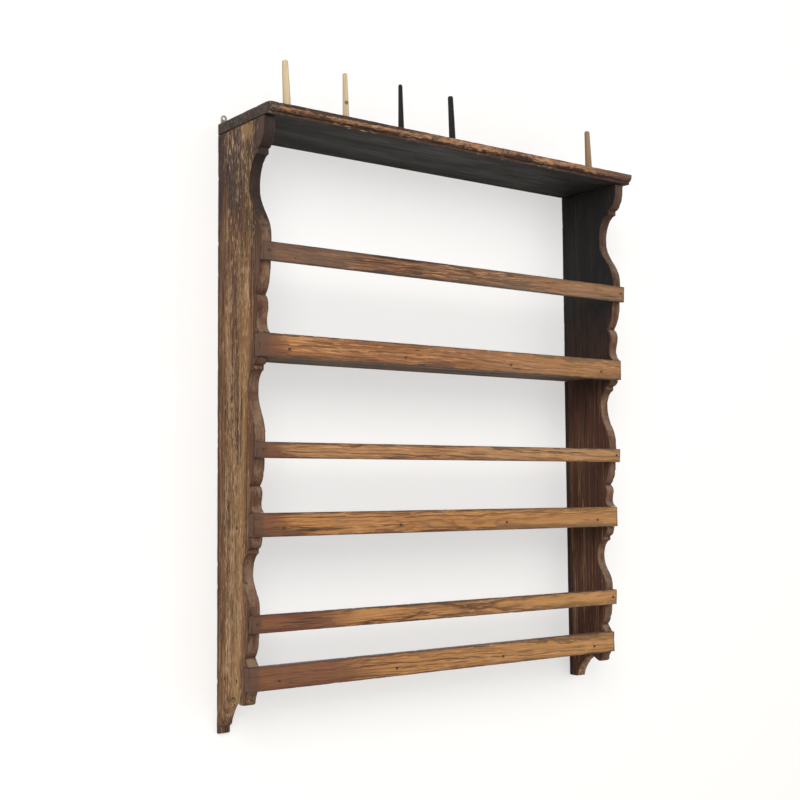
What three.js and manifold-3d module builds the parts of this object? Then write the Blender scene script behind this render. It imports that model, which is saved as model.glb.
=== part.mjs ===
// A hanging plate rack in old pine: two shaped side boards, a moulded top board with a row of pegs,
// three shelves behind lips, three guard rails, cut nails, and two iron hangers let into the back.
// Millimetres. X runs along the wall, Y into the wall, Z up. The wall is the plane Y = 0, and a depth is
// measured from it towards the room. Heights in the sizes below start at the tip of the left foot.
import * as THREE from "three";
import { mergeVertices } from "three/addons/utils/BufferGeometryUtils.js";
import Module from "manifold-3d";

const wasm = await Module();
wasm.setup();

// Clearances between pieces that touch
const FIT = 0.3;

// The two side boards, tapered planks with the front edge shaped between the shelves
const rackWidth = 937;
const sideHeight = 1130;
const sideThickness = 25;
const sideDepthTop = 172.5;
const sideDepthFoot = 104;

// The top board, laid on the side boards, with a moulded front edge
const topThickness = 22;
const topDepth = 190;
const topOverhangRight = 11;
const nosingFlat = 4;
const nosingHeight = 12;
const nosingSetback = 8;

// Shelves, housed in the side boards, each behind a lip
const shelfThickness = 18;
const shelfAboveLipFoot = 7;
const housingDepth = 7;
const lipHeight = 44;
const lipThickness = 19;
const lipProud = 8.5;

// Guard rails, nailed flat on the front edges of the side boards
const railThickness = 12;

// The shaped front edge. Each bay lies over one shelf. From above: a land and a round shoulder, a short
// step, a deep hollow that swells out to the rail, a round that comes in to a notch, a small lobe and a
// flare to the lip.
const stepHeight = 10;
const swellAboveRail = 5;

// The upper bay: its lip, its rail and its edge
const upperLipFoot = 691;
const upperRailFoot = 865;
const upperRailHeight = 35;
const upperLand = 15;
const upperShoulderHeight = 41;
const upperShoulderDepth = 20;
const upperHollowHeight = 50;
const upperHollowDepth = 47;
const upperRoundDrop = 4;
const upperNotchAboveLip = 71;
const upperNotchDepth = 15;
const upperFlareProud = 4;
const upperLobePeak = 48;
const upperLobePeakDepth = 3.5;
const upperLobeDip = 26;
const upperLobeDipDepth = 7;

// The middle bay: its lip, its rail and its edge
const middleLipFoot = 365;
const middleRailFoot = 508;
const middleRailHeight = 30;
const middleLand = 0;
const middleShoulderHeight = 13;
const middleShoulderDepth = 13.5;
const middleHollowHeight = 30;
const middleHollowDepth = 30;
const middleRoundDrop = 10;
const middleNotchAboveLip = 49;
const middleNotchDepth = 13.5;
const middleFlareProud = 3.5;
const middleLobePeak = 33;
const middleLobePeakDepth = 4.5;
const middleLobeDip = 17;
const middleLobeDipDepth = 6.5;

// The lower bay: its lip, its rail and its edge
const lowerLipFoot = 88;
const lowerRailFoot = 193;
const lowerRailHeight = 33;
const lowerLand = 5;
const lowerShoulderHeight = 16;
const lowerShoulderDepth = 10.5;
const lowerHollowHeight = 32;
const lowerHollowDepth = 28;
const lowerRoundDrop = 9;
const lowerNotchAboveLip = 16;
const lowerNotchDepth = 11;
const lowerFlareProud = 1;

const bays = [
  {
    name: "upper",
    lipFoot: upperLipFoot,
    railFoot: upperRailFoot,
    railHeight: upperRailHeight,
    land: upperLand,
    shoulderHeight: upperShoulderHeight,
    shoulderDepth: upperShoulderDepth,
    hollowHeight: upperHollowHeight,
    hollowDepth: upperHollowDepth,
    roundDrop: upperRoundDrop,
    notchAboveLip: upperNotchAboveLip,
    notchDepth: upperNotchDepth,
    flareProud: upperFlareProud,
    lobe: {
      peak: upperLobePeak,
      peakDepth: upperLobePeakDepth,
      dip: upperLobeDip,
      dipDepth: upperLobeDipDepth,
    },
  },
  {
    name: "middle",
    lipFoot: middleLipFoot,
    railFoot: middleRailFoot,
    railHeight: middleRailHeight,
    land: middleLand,
    shoulderHeight: middleShoulderHeight,
    shoulderDepth: middleShoulderDepth,
    hollowHeight: middleHollowHeight,
    hollowDepth: middleHollowDepth,
    roundDrop: middleRoundDrop,
    notchAboveLip: middleNotchAboveLip,
    notchDepth: middleNotchDepth,
    flareProud: middleFlareProud,
    lobe: {
      peak: middleLobePeak,
      peakDepth: middleLobePeakDepth,
      dip: middleLobeDip,
      dipDepth: middleLobeDipDepth,
    },
  },
  {
    name: "lower",
    lipFoot: lowerLipFoot,
    railFoot: lowerRailFoot,
    railHeight: lowerRailHeight,
    land: lowerLand,
    shoulderHeight: lowerShoulderHeight,
    shoulderDepth: lowerShoulderDepth,
    hollowHeight: lowerHollowHeight,
    hollowDepth: lowerHollowDepth,
    roundDrop: lowerRoundDrop,
    notchAboveLip: lowerNotchAboveLip,
    notchDepth: lowerNotchDepth,
    flareProud: lowerFlareProud,
    lobe: null,
  },
];

// The foot of a side board: a lobe under the lowest lip, a cusp, a concave sweep, and a narrow heel at the
// wall. The two were sawn by hand and differ: the left heel runs on down into a small rounded tip. A bend is
// the point that a curve pulls towards, counted from the curve's start.
const lobeFront = 104;
const lobeCorner = 11;
const lobeRear = 22;
const lobeBendDepth = 16;
const lobeBendRise = 2;
const leftHeelDepth = 17;
const leftHeelHeight = 18;
const leftBendDepth = 8;
const leftBendRise = 32;
const leftCuspDepth = 64;
const leftCuspHeight = 75;
const leftLobeFoot = 62;
const leftTipDepth = 9;
const leftTipRound = 5;
const leftTipNick = 5;
const rightHeelDepth = 25;
const rightHeelHeight = 26;
const rightBendDepth = 6;
const rightBendRise = 30;
const rightCuspDepth = 70;
const rightCuspHeight = 79;
const rightLobeFoot = 66;
const feet = {
  left: {
    heel: [leftHeelDepth, leftHeelHeight],
    bend: [leftBendDepth, leftBendRise],
    cusp: [leftCuspDepth, leftCuspHeight],
    lobeFoot: leftLobeFoot,
    tip: { depth: leftTipDepth, round: leftTipRound, nick: leftTipNick },
  },
  right: {
    heel: [rightHeelDepth, rightHeelHeight],
    bend: [rightBendDepth, rightBendRise],
    cusp: [rightCuspDepth, rightCuspHeight],
    lobeFoot: rightLobeFoot,
    tip: null,
  },
};

// The pegs in the top board, whittled one by one, each leaning a little along the wall (in degrees). They
// are set out from the nearer end of the side boards. Two are lost and have left their holes.
const pegDepth = 145;
const pegHoleDepth = 14;
const pegHoleDiameter = 12;
const pegTipRound = 2.2;
const pegSeat = 0.7;
const pegSides = 16;
const peg1Inset = 66;
const peg2Inset = 199;
const peg3Inset = 332;
const peg4Inset = 464;
const peg5Inset = 342;
const peg6Inset = 210;
const peg7Inset = 80.5;
const peg7Place = rackWidth - peg7Inset;
const peg1Height = 97.5;
const peg2Height = 98.5;
const peg3Height = 101.5;
const peg4Height = 101.5;
const peg7Height = 93.5;
const peg1Base = 16.5;
const peg2Base = 14.7;
const peg3Base = 13.3;
const peg4Base = 15.6;
const peg7Base = 16.8;
const peg1Tip = 12.3;
const peg2Tip = 10;
const peg3Tip = 9;
const peg4Tip = 11.8;
const peg7Tip = 12.7;
const pegs = [
  { x: peg1Inset, height: peg1Height, base: peg1Base, tip: peg1Tip, lean: -2.6, colour: "#c9a877" },
  { x: peg2Inset, height: peg2Height, base: peg2Base, tip: peg2Tip, lean: -1.5, colour: "#c39c68" },
  { x: peg3Inset, height: peg3Height, base: peg3Base, tip: peg3Tip, lean: -0.7, colour: "#2b211d" },
  { x: peg4Inset, height: peg4Height, base: peg4Base, tip: peg4Tip, lean: -2.6, colour: "#2e2420" },
  { x: rackWidth - peg5Inset, lost: true },
  { x: rackWidth - peg6Inset, lost: true },
  { x: peg7Place, height: peg7Height, base: peg7Base, tip: peg7Tip, lean: -2.2, colour: "#a58c62" },
];

// The iron hangers, flat straps let flush into the back, each with an eye above the top board
const hangerWidth = 12.4;
const hangerThickness = 2.4;
const hangerLength = 62;
const hangerEyeHole = 6.4;
const hangerEyeRise = 13;

// Cut nails with rectangular heads
const nailHeadWidth = 6;
const nailHeadHeight = 4.4;
const nailHeadThickness = 1.6;
const nailShank = 3;
const nailPoint = 1.2;
const shelfNailLength = 50;
const lipNailLength = 42;
const railNailLength = 38;
const topNailLength = 52;
const hangerNailLength = 20;
const shelfNailBack = 30;
const shelfNailFront = 75;
const lipNailInset = 64;
const lipNailSpacing = 267;
const topNailBack = 40;
const topNailFront = 128;
const hangerNailUpperDrop = 24;
const hangerNailLowerDrop = 50;

// Colours of the worn wood and of the iron
const WOOD = {
  side: "#6b4a30",
  top: "#4a3428",
  shelf: "#4f3627",
  lip: "#94582e",
  rail: "#9a6236",
};
const IRON = "#4c463f";

// How finely curves are cut into straight pieces, and how near two points of an outline may lie
const CURVE_STEPS = 9;
const EYE_STEPS = 10;
const NEAR = 0.05;

// How far a curve of the edge keeps upright before it turns, as a share of its height
const UPRIGHT = 0.45;
const TURN = 0.7;

// How far a cutting block reaches past what it cuts
const OVERCUT = 5;

const QUARTER = Math.PI / 2;
const bayTop = (i) => (i === 0 ? sideHeight : bays[i - 1].lipFoot - FIT);
const topFace = sideHeight + FIT + topThickness;
const hangerEyeHeight = topFace + hangerEyeRise;
const ENDS = ["left", "right"];
const boardMiddle = { left: sideThickness / 2, right: rackWidth - sideThickness / 2 };
const lipTop = (bay) => bay.lipFoot + lipHeight;
const taper = (sideDepthTop - sideDepthFoot) / sideHeight;
const leanOfEdge = Math.atan(taper);
const edgeDepth = (height) => sideDepthFoot + taper * height;
const lipFace = (bay) => edgeDepth(bay.lipFoot + lipHeight / 2) + lipProud;
const lipBack = (bay) => lipFace(bay) - lipThickness;
const shelfFoot = (bay) => bay.lipFoot + shelfAboveLipFoot;

// Solids

function solidOf(geometry) {
  const bare = geometry.index ? geometry.toNonIndexed() : geometry.clone();
  bare.deleteAttribute("normal");
  bare.deleteAttribute("uv");
  const merged = mergeVertices(bare);
  return new wasm.Manifold(
    new wasm.Mesh({
      numProp: 3,
      vertProperties: merged.attributes.position.array,
      triVerts: new Uint32Array(merged.index.array),
    }),
  );
}

function geometryOf(solid) {
  const mesh = solid.getMesh();
  const geometry = new THREE.BufferGeometry();
  geometry.setAttribute("position", new THREE.BufferAttribute(new Float32Array(mesh.vertProperties), 3));
  geometry.setIndex(new THREE.BufferAttribute(new Uint32Array(mesh.triVerts), 1));
  geometry.computeVertexNormals();
  return geometry;
}

// A block between two corners, given as [x, depth, height]
function block(from, to) {
  const size = from.map((value, axis) => Math.abs(to[axis] - value));
  const geometry = new THREE.BoxGeometry(size[0], size[1], size[2]);
  geometry.translate((from[0] + to[0]) / 2, -(from[1] + to[1]) / 2, (from[2] + to[2]) / 2);
  return geometry;
}

// A profile drawn as depth and height, extruded along the wall from x = 0
function alongWall(shape, length) {
  const geometry = new THREE.ExtrudeGeometry(shape, { depth: length, bevelEnabled: false, steps: 1 });
  const axes = new THREE.Matrix4().makeBasis(
    new THREE.Vector3(0, -1, 0),
    new THREE.Vector3(0, 0, 1),
    new THREE.Vector3(-1, 0, 0),
  );
  return geometry.applyMatrix4(axes).translate(length, 0, 0);
}

// The shaped front edge of a side board

// A curve that is upright at both ends
function flowTo(path, x, y) {
  const from = path.currentPoint.clone();
  const pull = UPRIGHT * (y - from.y);
  path.bezierCurveTo(from.x, from.y + pull, x, y - pull, x, y);
}

// A round that starts upright and turns in to a corner
function roundTo(path, x, y) {
  const from = path.currentPoint.clone();
  path.quadraticCurveTo(from.x, from.y + TURN * (y - from.y), x, y);
}

// A round that leaves a corner and ends upright
function roundFrom(path, x, y) {
  const from = path.currentPoint.clone();
  path.quadraticCurveTo(x, y - TURN * (y - from.y), x, y);
}

// One bay of the edge from its lip up to the shelf or top board above, drawn on a straight plank:
// the path's x is how far the edge stands out from the taper line, its y is the height.
function bayPath(bay, i) {
  const top = bayTop(i);
  const shoulderTop = top - bay.land;
  const stepTop = shoulderTop - bay.shoulderHeight;
  const hollow = stepTop - stepHeight - bay.hollowHeight;
  const path = new THREE.Path();
  path.moveTo(bay.flareProud, lipTop(bay) + FIT);
  if (bay.lobe) {
    roundFrom(path, -bay.lobe.dipDepth, lipTop(bay) + bay.lobe.dip);
    flowTo(path, -bay.lobe.peakDepth, lipTop(bay) + bay.lobe.peak);
    roundTo(path, -bay.notchDepth, lipTop(bay) + bay.notchAboveLip);
  } else {
    path.lineTo(-bay.notchDepth, lipTop(bay) + bay.notchAboveLip);
  }
  roundFrom(path, 0, bay.railFoot - bay.roundDrop);
  path.lineTo(0, bay.railFoot + bay.railHeight + swellAboveRail);
  flowTo(path, -bay.hollowDepth, hollow);
  const reach = bay.hollowDepth - bay.shoulderDepth;
  path.absellipse(-bay.shoulderDepth, hollow, reach, bay.hollowHeight, Math.PI, QUARTER, true);
  path.lineTo(-bay.shoulderDepth, stepTop);
  path.absellipse(-bay.shoulderDepth, shoulderTop, bay.shoulderDepth, bay.shoulderHeight, -QUARTER, 0, false);
  path.lineTo(0, top);
  return path;
}

// The foot, from the wall round the heel and up the sweep to the lobe under the lowest lip
function footPath({ heel, bend, cusp, lobeFoot, tip }) {
  const path = new THREE.Path();
  path.moveTo(0, tip ? 0 : heel[1]);
  if (tip) {
    path.lineTo(tip.depth - tip.round, 0);
    path.quadraticCurveTo(tip.depth, 0, tip.depth, tip.round);
    path.lineTo(tip.depth, heel[1] - tip.nick);
  }
  path.lineTo(heel[0], heel[1]);
  path.quadraticCurveTo(heel[0] + bend[0], heel[1] + bend[1], cusp[0], cusp[1]);
  path.quadraticCurveTo(cusp[0] + lobeBendDepth, lobeFoot + lobeBendRise, cusp[0] + lobeRear, lobeFoot);
  path.lineTo(lobeFront - lobeCorner, lobeFoot);
  path.quadraticCurveTo(lobeFront, lobeFoot, lobeFront, lobeFoot + lobeCorner);
  return path;
}

// The outline of a side board as depths and heights: foot, notches for the lips, shaped edge, top and back
function sideOutline(foot) {
  const points = footPath(foot).getPoints(CURVE_STEPS);
  for (let i = bays.length - 1; i >= 0; i--) {
    const bay = bays[i];
    const under = bay.lipFoot - FIT;
    if (i === bays.length - 1) points.push(new THREE.Vector2(edgeDepth(under), under));
    points.push(new THREE.Vector2(lipBack(bay) - FIT, under));
    points.push(new THREE.Vector2(lipBack(bay) - FIT, lipTop(bay) + FIT));
    for (const { x, y } of bayPath(bay, i).getPoints(CURVE_STEPS)) {
      points.push(new THREE.Vector2(edgeDepth(y) + x, y));
    }
  }
  points.push(new THREE.Vector2(0, sideHeight));
  return points.filter((point, i) => i === 0 || point.distanceTo(points[i - 1]) > NEAR);
}

// Nails

// A nail along its own +Z, its head's face at z = 0 and its point at z = -length, grown by a clearance
function nailGeometry(length, grow) {
  const sizes = [nailHeadWidth, nailHeadHeight, nailHeadThickness].map((size) => size + 2 * grow);
  const head = new THREE.BoxGeometry(...sizes).translate(0, 0, -nailHeadThickness / 2);
  const shankTop = -nailHeadThickness / 2;
  const shankLength = length + grow + shankTop;
  const across = (nailShank / 2 + grow) * Math.SQRT2;
  const acrossPoint = (nailPoint / 2 + grow) * Math.SQRT2;
  const shank = new THREE.CylinderGeometry(across, acrossPoint, shankLength, 4);
  shank.rotateY(QUARTER / 2);
  shank.rotateX(QUARTER);
  shank.translate(0, 0, shankTop - shankLength / 2);
  return solidOf(head).add(solidOf(shank));
}

// The matrix that turns a piece by angles about X, Y and Z and then moves it to a place
function placed(position, rotation) {
  const turn = new THREE.Quaternion().setFromEuler(new THREE.Euler(rotation[0], rotation[1], rotation[2]));
  return new THREE.Matrix4().compose(new THREE.Vector3(...position), turn, new THREE.Vector3(1, 1, 1));
}

// Each nail has its name, its length, its place, and the names of the pieces that it goes through
const nails = [];

function addNail(name, length, position, rotation, through) {
  nails.push({ name, length, place: placed(position, rotation), through });
}

function nailTheShelves() {
  for (const bay of bays) {
    const height = shelfFoot(bay) + shelfThickness / 2;
    for (const end of ENDS) {
      const x = end === "left" ? 0 : rackWidth;
      const turn = end === "left" ? -QUARTER : QUARTER;
      const through = [`side_${end}`, `shelf_${bay.name}`];
      for (const [where, depth] of Object.entries({ back: shelfNailBack, front: shelfNailFront })) {
        const name = `nail_shelf_${bay.name}_${end}_${where}`;
        addNail(name, shelfNailLength, [x, -depth, height], [0, turn, 0], through);
      }
    }
  }
}

function nailTheLips() {
  for (const bay of bays) {
    const height = shelfFoot(bay) + shelfThickness / 2;
    const through = [`lip_${bay.name}`, `shelf_${bay.name}`];
    const inner = lipNailInset + lipNailSpacing;
    const places = [lipNailInset, inner, rackWidth - inner, rackWidth - lipNailInset];
    places.forEach((x, i) => {
      const position = [x, -lipFace(bay), height];
      addNail(`nail_lip_${bay.name}_${i + 1}`, lipNailLength, position, [QUARTER, 0, 0], through);
    });
  }
}

function nailTheRails() {
  for (const bay of bays) {
    const height = bay.railFoot + bay.railHeight / 2;
    const face = edgeDepth(height) + (FIT + railThickness) / Math.cos(leanOfEdge);
    for (const end of ENDS) {
      const position = [boardMiddle[end], -face, height];
      const turn = [QUARTER - leanOfEdge, 0, 0];
      const through = [`rail_${bay.name}`, `side_${end}`];
      addNail(`nail_rail_${bay.name}_${end}`, railNailLength, position, turn, through);
    }
  }
}

function nailTheTop() {
  for (const end of ENDS) {
    for (const [where, depth] of Object.entries({ back: topNailBack, front: topNailFront })) {
      const position = [boardMiddle[end], -depth, topFace];
      const through = ["top_board", `side_${end}`];
      addNail(`nail_top_${end}_${where}`, topNailLength, position, [0, 0, 0], through);
    }
  }
}

// One nail holds each hanger to the end of the top board, and one below it to the side board
function nailTheHangers() {
  const drops = { top_board: hangerNailUpperDrop, side: hangerNailLowerDrop };
  for (const end of ENDS) {
    for (const [board, drop] of Object.entries(drops)) {
      const through = [`hanger_${end}`, board === "side" ? `side_${end}` : board];
      const position = [boardMiddle[end], 0, hangerEyeHeight - drop];
      addNail(`nail_hanger_${end}_${board}`, hangerNailLength, position, [-QUARTER, 0, 0], through);
    }
  }
}

nailTheShelves();
nailTheLips();
nailTheRails();
nailTheTop();
nailTheHangers();

// Takes the holes of the nails that pass through a piece out of its solid
function drilled(solid, name) {
  let result = solid;
  for (const nail of nails) {
    if (!nail.through.includes(name)) continue;
    const hole = geometryOf(nailGeometry(nail.length, FIT)).applyMatrix4(nail.place);
    result = result.subtract(solidOf(hole));
  }
  return result;
}

// Pieces

// A strap lying in the back face, its eye standing over the top board, drawn in x and height. Grown by the
// clearance and with no eye, it is also the tool that cuts the seat in the boards.
function hangerSolid(x, grow, withEye) {
  const half = hangerWidth / 2 + grow;
  const foot = hangerEyeHeight - hangerLength - grow;
  const shape = new THREE.Shape();
  shape.moveTo(-half, foot);
  shape.lineTo(half, foot);
  shape.absarc(0, hangerEyeHeight, half, 0, Math.PI, false);
  if (withEye) {
    const eye = new THREE.Path();
    eye.absarc(0, hangerEyeHeight, hangerEyeHole / 2, 0, 2 * Math.PI, true);
    shape.holes.push(eye);
  }
  const depth = hangerThickness + 2 * grow;
  const options = { depth, bevelEnabled: false, curveSegments: EYE_STEPS, steps: 1 };
  return solidOf(new THREE.ExtrudeGeometry(shape, options).rotateX(QUARTER).translate(x, grow, 0));
}

function makeSide(end) {
  const outer = end === "left" ? 0 : rackWidth - sideThickness;
  const inner = end === "left" ? sideThickness : rackWidth - sideThickness;
  const into = end === "left" ? -1 : 1;
  const board = alongWall(new THREE.Shape(sideOutline(feet[end])), sideThickness).translate(outer, 0, 0);
  let solid = drilled(solidOf(board), `side_${end}`);
  for (const bay of bays) {
    const low = shelfFoot(bay) - FIT;
    const high = low + shelfThickness + 2 * FIT;
    const from = [inner + into * housingDepth, -OVERCUT, low];
    const to = [inner - into * OVERCUT, lipBack(bay) + OVERCUT, high];
    solid = solid.subtract(solidOf(block(from, to)));
  }
  return geometryOf(solid.subtract(hangerSolid(boardMiddle[end], FIT, false)));
}

function makeTop() {
  const flatFoot = topThickness - nosingFlat;
  const profile = new THREE.Shape();
  profile.moveTo(0, 0);
  profile.lineTo(topDepth - nosingSetback, 0);
  profile.lineTo(topDepth - nosingSetback, flatFoot - nosingHeight);
  profile.absellipse(topDepth - nosingSetback, flatFoot, nosingSetback, nosingHeight, -QUARTER, 0, false);
  profile.lineTo(topDepth, topThickness);
  profile.lineTo(0, topThickness);
  const board = alongWall(new THREE.Shape(profile.getPoints(CURVE_STEPS)), rackWidth + topOverhangRight);
  board.translate(0, 0, sideHeight + FIT);
  let solid = drilled(solidOf(board), "top_board");
  for (const peg of pegs) {
    const radius = pegHoleDiameter / 2 + (peg.lost ? 0 : FIT);
    const hole = new THREE.CylinderGeometry(radius, radius, 2 * pegHoleDepth, pegSides).rotateX(QUARTER);
    solid = solid.subtract(solidOf(hole.applyMatrix4(pegPlace(peg))));
  }
  for (const end of ENDS) {
    solid = solid.subtract(hangerSolid(boardMiddle[end], FIT, false));
  }
  return geometryOf(solid);
}

function makeShelf(bay) {
  const inset = sideThickness - housingDepth + FIT;
  const low = shelfFoot(bay);
  const board = block([inset, 0, low], [rackWidth - inset, lipBack(bay) - FIT, low + shelfThickness]);
  return geometryOf(drilled(solidOf(board), `shelf_${bay.name}`));
}

function makeLip(bay) {
  const board = block([0, lipBack(bay), bay.lipFoot], [rackWidth, lipFace(bay), lipTop(bay)]);
  return geometryOf(drilled(solidOf(board), `lip_${bay.name}`));
}

function makeRail(bay) {
  const rail = new THREE.BoxGeometry(rackWidth, railThickness, bay.railHeight);
  rail.translate(rackWidth / 2, -railThickness / 2 - FIT, 0);
  rail.rotateX(leanOfEdge);
  const middle = bay.railFoot + bay.railHeight / 2;
  rail.translate(0, -edgeDepth(middle), middle);
  return geometryOf(drilled(solidOf(rail), `rail_${bay.name}`));
}

function pegPlace(peg) {
  const lean = THREE.MathUtils.degToRad(peg.lean ?? 0);
  return placed([peg.x, -pegDepth, topFace], [0, lean, 0]);
}

// A whittled peg, turned about its own axis with the top face of the board at height 0
function makePeg(peg) {
  const tenon = pegHoleDiameter / 2;
  const points = [
    [0, -pegHoleDepth + FIT],
    [tenon, -pegHoleDepth + FIT],
    [tenon, pegSeat],
    [peg.base / 2, pegSeat],
    [peg.tip / 2, peg.height - pegTipRound],
    [peg.tip / 2 - pegTipRound, peg.height],
    [0, peg.height],
  ];
  const profile = points.map(([radius, height]) => new THREE.Vector2(radius, height));
  return new THREE.LatheGeometry(profile, pegSides).rotateX(QUARTER);
}

// Assembly

const rack = new THREE.Group();
rack.name = "plate_rack";

function piece(name, geometry, finish) {
  const mesh = new THREE.Mesh(geometry, new THREE.MeshStandardMaterial(finish));
  mesh.name = name;
  rack.add(mesh);
  return mesh;
}

function wood(name, geometry, color, roughness = 0.8) {
  return piece(name, geometry, { color, roughness, metalness: 0 });
}

function iron(name, geometry) {
  return piece(name, geometry, { color: IRON, roughness: 0.6, metalness: 0.8 });
}

for (const end of ENDS) {
  wood(`side_${end}`, makeSide(end), WOOD.side);
}
wood("top_board", makeTop(), WOOD.top, 0.85);
for (const bay of bays) {
  wood(`shelf_${bay.name}`, makeShelf(bay), WOOD.shelf);
  wood(`lip_${bay.name}`, makeLip(bay), WOOD.lip, 0.6);
  wood(`rail_${bay.name}`, makeRail(bay), WOOD.rail, 0.6);
}
pegs.forEach((peg, i) => {
  if (!peg.lost) wood(`peg_${i + 1}`, makePeg(peg), peg.colour).applyMatrix4(pegPlace(peg));
});
for (const end of ENDS) {
  const hanger = hangerSolid(boardMiddle[end], 0, true);
  iron(`hanger_${end}`, geometryOf(drilled(hanger, `hanger_${end}`)));
}
for (const nail of nails) {
  const mesh = iron(nail.name, geometryOf(nailGeometry(nail.length, 0)));
  mesh.applyMatrix4(nail.place);
}

// The part's origin is the middle of the top board's back face, where the rack meets the wall
rack.position.set(-rackWidth / 2, 0, -(sideHeight + FIT + topThickness / 2));

export default rack;
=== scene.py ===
"""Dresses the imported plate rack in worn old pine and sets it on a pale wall.

Metres, in the row's frame: X along the wall, Y into the wall, Z up. The origin is the middle of the top
board's back face.
"""

import logging
import math
from dataclasses import dataclass, replace
from enum import Enum

import bmesh
import bpy
import numpy as np
from mathutils import Matrix, Vector, noise

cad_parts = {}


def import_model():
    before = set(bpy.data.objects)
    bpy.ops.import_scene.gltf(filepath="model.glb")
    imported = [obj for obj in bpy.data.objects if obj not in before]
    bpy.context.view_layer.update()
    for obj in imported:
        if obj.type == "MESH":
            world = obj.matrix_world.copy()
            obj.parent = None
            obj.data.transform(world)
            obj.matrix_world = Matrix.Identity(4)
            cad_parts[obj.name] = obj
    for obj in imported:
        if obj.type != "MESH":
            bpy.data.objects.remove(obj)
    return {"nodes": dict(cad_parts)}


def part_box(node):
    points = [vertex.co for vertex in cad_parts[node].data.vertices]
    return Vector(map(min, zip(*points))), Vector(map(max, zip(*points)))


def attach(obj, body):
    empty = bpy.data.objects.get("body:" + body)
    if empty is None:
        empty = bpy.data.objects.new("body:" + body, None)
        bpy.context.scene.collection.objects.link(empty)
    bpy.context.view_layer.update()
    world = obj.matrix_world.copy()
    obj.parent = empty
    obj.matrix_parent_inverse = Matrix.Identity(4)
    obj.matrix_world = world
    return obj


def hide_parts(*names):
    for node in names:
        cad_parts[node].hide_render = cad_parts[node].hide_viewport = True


LOG = logging.getLogger("plate_rack")
Colour = tuple[float, float, float, float]
Triple = tuple[float, float, float]
Socket = bpy.types.NodeSocket
Nodes = dict[str, bpy.types.Object]

MM = 0.001
WHITE = (1.0, 1.0, 1.0, 1.0)
BAYS = ("upper", "middle", "lower")

# The side boards' outer faces lie this far left and right of the middle
SIDE_FACE = 0.4685

# The side boards' front edge at the top board's middle, and how much it comes in for each metre downwards
EDGE = -0.17319
TAPER = 0.06062

# The attribute in which each mesh keeps its vertices' distances to the nearest corner
ARRIS = "arris"

# Edges over this angle are softened as corners, and edges over the next one stay sharp
CORNER = math.radians(30)
SHARP = math.radians(55)

# Vertices closer than this are one, faces that bend less are one, and a cut this near a vertex uses it
WELD = 0.01 * MM
FLAT = math.radians(0.5)
NEAR = 0.001 * MM

# How many waves, rubbed places and chips there are to a metre, and how far from a nail the wear starts
WAVES = (14, 22, 14)
RUBS = 45
CHIPS = 120
FADE = 8 * MM

# The number of strips in which a corner of the plan is worn round
STRIPS = 8


def srgb(code: str) -> Colour:
    """Turns a colour code, as it is seen on a screen, into the renderer's linear values."""
    values = [int(code[i:i + 2], 16) / 255 for i in (1, 3, 5)]
    linear = [v / 12.92 if v <= 0.04045 else ((v + 0.055) / 1.055) ** 2.4 for v in values]
    return (linear[0], linear[1], linear[2], 1.0)


class Grain(Enum):
    """The direction in which the fibres of a board run."""

    ALONG_WALL = "x"
    UPRIGHT = "z"


class End(Enum):
    """The two ends of the rack, and the side of X on which each lies."""

    LEFT = -1
    RIGHT = 1


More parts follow.
